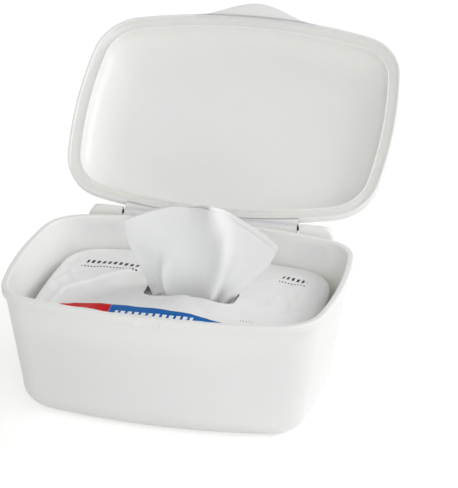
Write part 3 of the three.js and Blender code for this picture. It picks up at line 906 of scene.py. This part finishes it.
def wipeSheet():
    # a sheet folded in two at its left edge: the front layer, round the fold, then the back layer
    across = np.linspace(0, 1, wipe["across"] + 1)
    up = np.linspace(0, 1, wipe["up"] + 1)
    rows = [curveThrough(row, across) for row in wipeRows]
    grid = np.array([curveThrough([row[j] for row in rows], up) for j in range(len(across))])
    sideways = np.gradient(grid, axis=0)
    upward = np.gradient(grid, axis=1)
    normal = np.cross(sideways, upward)
    normal /= np.linalg.norm(normal, axis=2)[..., None]
    upward /= np.linalg.norm(upward, axis=2)[..., None]
    parted = wipe["layerGap"] * np.minimum(1, across * wipe["foldShare"])[:, None, None] / 2
    rightward = np.clip((across - wipe["backFrom"]) / wipe["backOver"], 0, 1)
    beyond = wipe["backReach"] * rightward[:, None, None] * (up**3)[None, :, None]
    front = grid + normal * parted
    back = grid - normal * parted * (1 + wipe["backParts"] * up[None, :, None]) + upward * beyond
    layers = np.concatenate([front[::-1], back[1:]])
    facing = np.concatenate([normal[::-1], -normal[1:]])
    facing[len(across) - 1] = [-1, 0, 0]
    half = wipe["thickness"] / 2
    outside, within = layers + facing * half, layers - facing * half
    for side in (outside, within):
        side[..., 2] = np.maximum(side[..., 2], 0) + wipe["foot"]
    wide, high = layers.shape[:2]
    points = np.vstack([outside.reshape(-1, 3), within.reshape(-1, 3)])
    at = np.arange(wide * high).reshape(wide, high)
    far = at + wide * high
    faces = []

    def quads(a, b, c, d):
        faces.extend(zip(a.ravel().tolist(), b.ravel().tolist(), c.ravel().tolist(), d.ravel().tolist()))

    quads(at[:-1, :-1], at[:-1, 1:], at[1:, 1:], at[1:, :-1])
    quads(far[:-1, :-1], far[1:, :-1], far[1:, 1:], far[:-1, 1:])
    quads(at[:-1, 0], at[1:, 0], far[1:, 0], far[:-1, 0])
    quads(at[1:, -1], at[:-1, -1], far[:-1, -1], far[1:, -1])
    quads(at[0, 1:], at[0, :-1], far[0, :-1], far[0, 1:])
    quads(at[-1, :-1], at[-1, 1:], far[-1, 1:], far[-1, :-1])
    return points, faces


stack = {
    "inset": 1.3,
    "top": 64.0,
    "sheets": 26,
    "groove": 0.5,
    "grooveAt": 0.15,  # share of a sheet's height
    "bulgeAt": 0.55,
    "footSteps": 12,
    "topRound": [(0.5, 3), (1.4, 1.2), (3.4, 0.2), (6, 0)],  # inset and drop below the top
}


def wipeStack():
    inset, top, sheets = stack["inset"], stack["top"], stack["sheets"]
    bottom, foot = pouch["bottom"] + inset, pouch["footRound"]
    profile = quarterRound(foot, bottom + foot, foot, foot, 270, 180, stack["footSteps"])
    rings = [packRing(inset + a, z) for a, z in profile]
    pitch = (top - stack["topRound"][0][1] - bottom - foot) / sheets
    for sheet in range(sheets):
        z = bottom + foot + pitch * sheet
        rings.append(packRing(inset + stack["groove"], z + pitch * stack["grooveAt"]))
        rings.append(packRing(inset, z + pitch * stack["bulgeAt"]))
    rings += [packRing(inset + a, top - drop) for a, drop in stack["topRound"]]
    return skin(rings)


studio = {
    "azimuth": 13.96,
    "elevation": 24.47,
    "distance": 1.792,
    "target": (0.031766, 0, 0.105498),
    "lens": 214.35,
    "sensor": 36,
    "lampAim": (0, 0, 0.08),
    "floorSize": 12,
    "floor": colour("#f4f4f3"),
    "brightSide": (0.66, -0.74, -0.12),
    "skyLow": 0.22,
    "skyHigh": 0.83,
    "floorGlow": 0.46,
}

lamps = [
    # name, place, width, watts
    ("keyLamp", (1.35, 0.6, 1.0), 0.8, 10),
    ("frontFill", (0.5, -1.95, 0.7), 1.2, 7),
]


def makeCamera():
    azimuth, elevation = math.radians(studio["azimuth"]), math.radians(studio["elevation"])
    level = math.cos(elevation)
    back = Vector((math.sin(azimuth) * level, -math.cos(azimuth) * level, math.sin(elevation)))
    camera = bpy.data.objects.new("camera", bpy.data.cameras.new("camera"))
    camera.data.lens, camera.data.sensor_width = studio["lens"], studio["sensor"]
    camera.location = Vector(studio["target"]) + back * studio["distance"]
    camera.rotation_euler = (-back).to_track_quat("-Z", "Y").to_euler()
    bpy.context.scene.collection.objects.link(camera)
    bpy.context.scene.camera = camera


def makeLamps():
    for name, place, width, watts in lamps:
        lamp = bpy.data.objects.new(name, bpy.data.lights.new(name, "AREA"))
        lamp.data.size, lamp.data.energy = width, watts
        lamp.location = place
        aim = Vector(studio["lampAim"]) - Vector(place)
        lamp.rotation_euler = aim.to_track_quat("-Z", "Y").to_euler()
        bpy.context.scene.collection.objects.link(lamp)


def whiteWhereSeen(tree):
    # 1 for rays that come from the camera or a mirror, so that they meet a white studio
    rays = addNode(tree, "ShaderNodeLightPath").outputs
    seen = rays["Is Camera Ray"]
    for kind in ("Is Glossy Ray", "Is Transmission Ray"):
        seen = addNode(tree, "ShaderNodeMath", {0: seen, 1: rays[kind]}, operation="MAXIMUM").outputs["Value"]
    return seen


def makeFloor():
    made, tree = newMaterial("studio paper")
    paper = addNode(tree, "ShaderNodeBsdfDiffuse", {"Color": studio["floor"]}).outputs["BSDF"]
    strength = addNode(
        tree, "ShaderNodeMath", {0: whiteWhereSeen(tree), 1: studio["floorGlow"]}, operation="MULTIPLY"
    ).outputs["Value"]
    glow = addNode(tree, "ShaderNodeEmission", {"Strength": strength}).outputs["Emission"]
    both = addNode(tree, "ShaderNodeAddShader", {0: paper, 1: glow}).outputs["Shader"]
    addNode(tree, "ShaderNodeOutputMaterial", {"Surface": both})
    half = studio["floorSize"] / 2
    mesh = bpy.data.meshes.new("floor")
    corners = [(-half, -half, 0), (half, -half, 0), (half, half, 0), (-half, half, 0)]
    mesh.from_pydata(corners, [], [(0, 1, 2, 3)])
    mesh.materials.append(made)
    floor = bpy.data.objects.new("floor", mesh)
    bpy.context.scene.collection.objects.link(floor)


def makeWorld():
    world = bpy.data.worlds.new("studio")
    world.use_nodes = True
    tree = world.node_tree
    tree.nodes.clear()
    way = addNode(tree, "ShaderNodeTexCoord").outputs["Generated"]
    side = addNode(
        tree, "ShaderNodeVectorMath", {0: way, 1: studio["brightSide"]}, operation="DOT_PRODUCT"
    ).outputs["Value"]
    grade = addNode(
        tree,
        "ShaderNodeMapRange",
        {
            "Value": side,
            "From Min": -1.0,
            "From Max": 1.0,
            "To Min": studio["skyLow"],
            "To Max": studio["skyHigh"],
        },
    ).outputs["Result"]
    strength = addNode(
        tree,
        "ShaderNodeMapRange",
        {"Value": whiteWhereSeen(tree), "To Min": grade, "To Max": 1.0},
    ).outputs["Result"]
    sky = addNode(tree, "ShaderNodeBackground", {"Color": (1, 1, 1, 1), "Strength": strength})
    addNode(tree, "ShaderNodeOutputWorld", {"Surface": sky.outputs["Background"]})
    bpy.context.scene.world = world


makeCamera()
makeLamps()
makeFloor()
makeWorld()
bpy.context.scene.view_settings.view_transform = "Standard"
print("studio ready")

plastic = mouldedPolypropylene()
film = printedFilm()
fleece = spunlaceFleece()
steel = pinGapShadeSteel()
print("materials ready")

makePiece("moulded_tub", together(tubShell(), ear(1), ear(-1)), plastic, "tub_body", ["tub"])
makePiece(
    "moulded_lid",
    openLid(together(lidShell(), hingeBarrel(), thumbTab(), frontCatch())),
    plastic,
    "lid_body",
    ["lid"],
)

skinPart, printFields = pouchSkin()
finParts = together(endFin(1), endFin(-1))
unprinted = {"redBand": band["outside"], "blueBand": band["outside"], "topFace": 0.0}
fields = {name: [*values, *[unprinted[name]] * len(finParts[0])] for name, values in printFields.items()}
makePiece("film_pouch", together(skinPart, finParts), film, "tub_body", ["wipes_pouch"], softEdge, fields)
makePiece("folded_wipes", wipeStack(), fleece, "tub_body", ["wipes_stack"], softEdge)

pulledWipe = makePiece("pulled_fleece_wipe", wipeSheet(), fleece, "tub_body", ["pulled_wipe"], softEdge)
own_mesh(pulledWipe)

# the pins' near-black colour is painted shade standing in for the dark gaps at the hinge
for pin in ("hinge_pin_left", "hinge_pin_right"):
    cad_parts[pin].data.materials.clear()
    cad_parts[pin].data.materials.append(steel)
print("pieces ready")
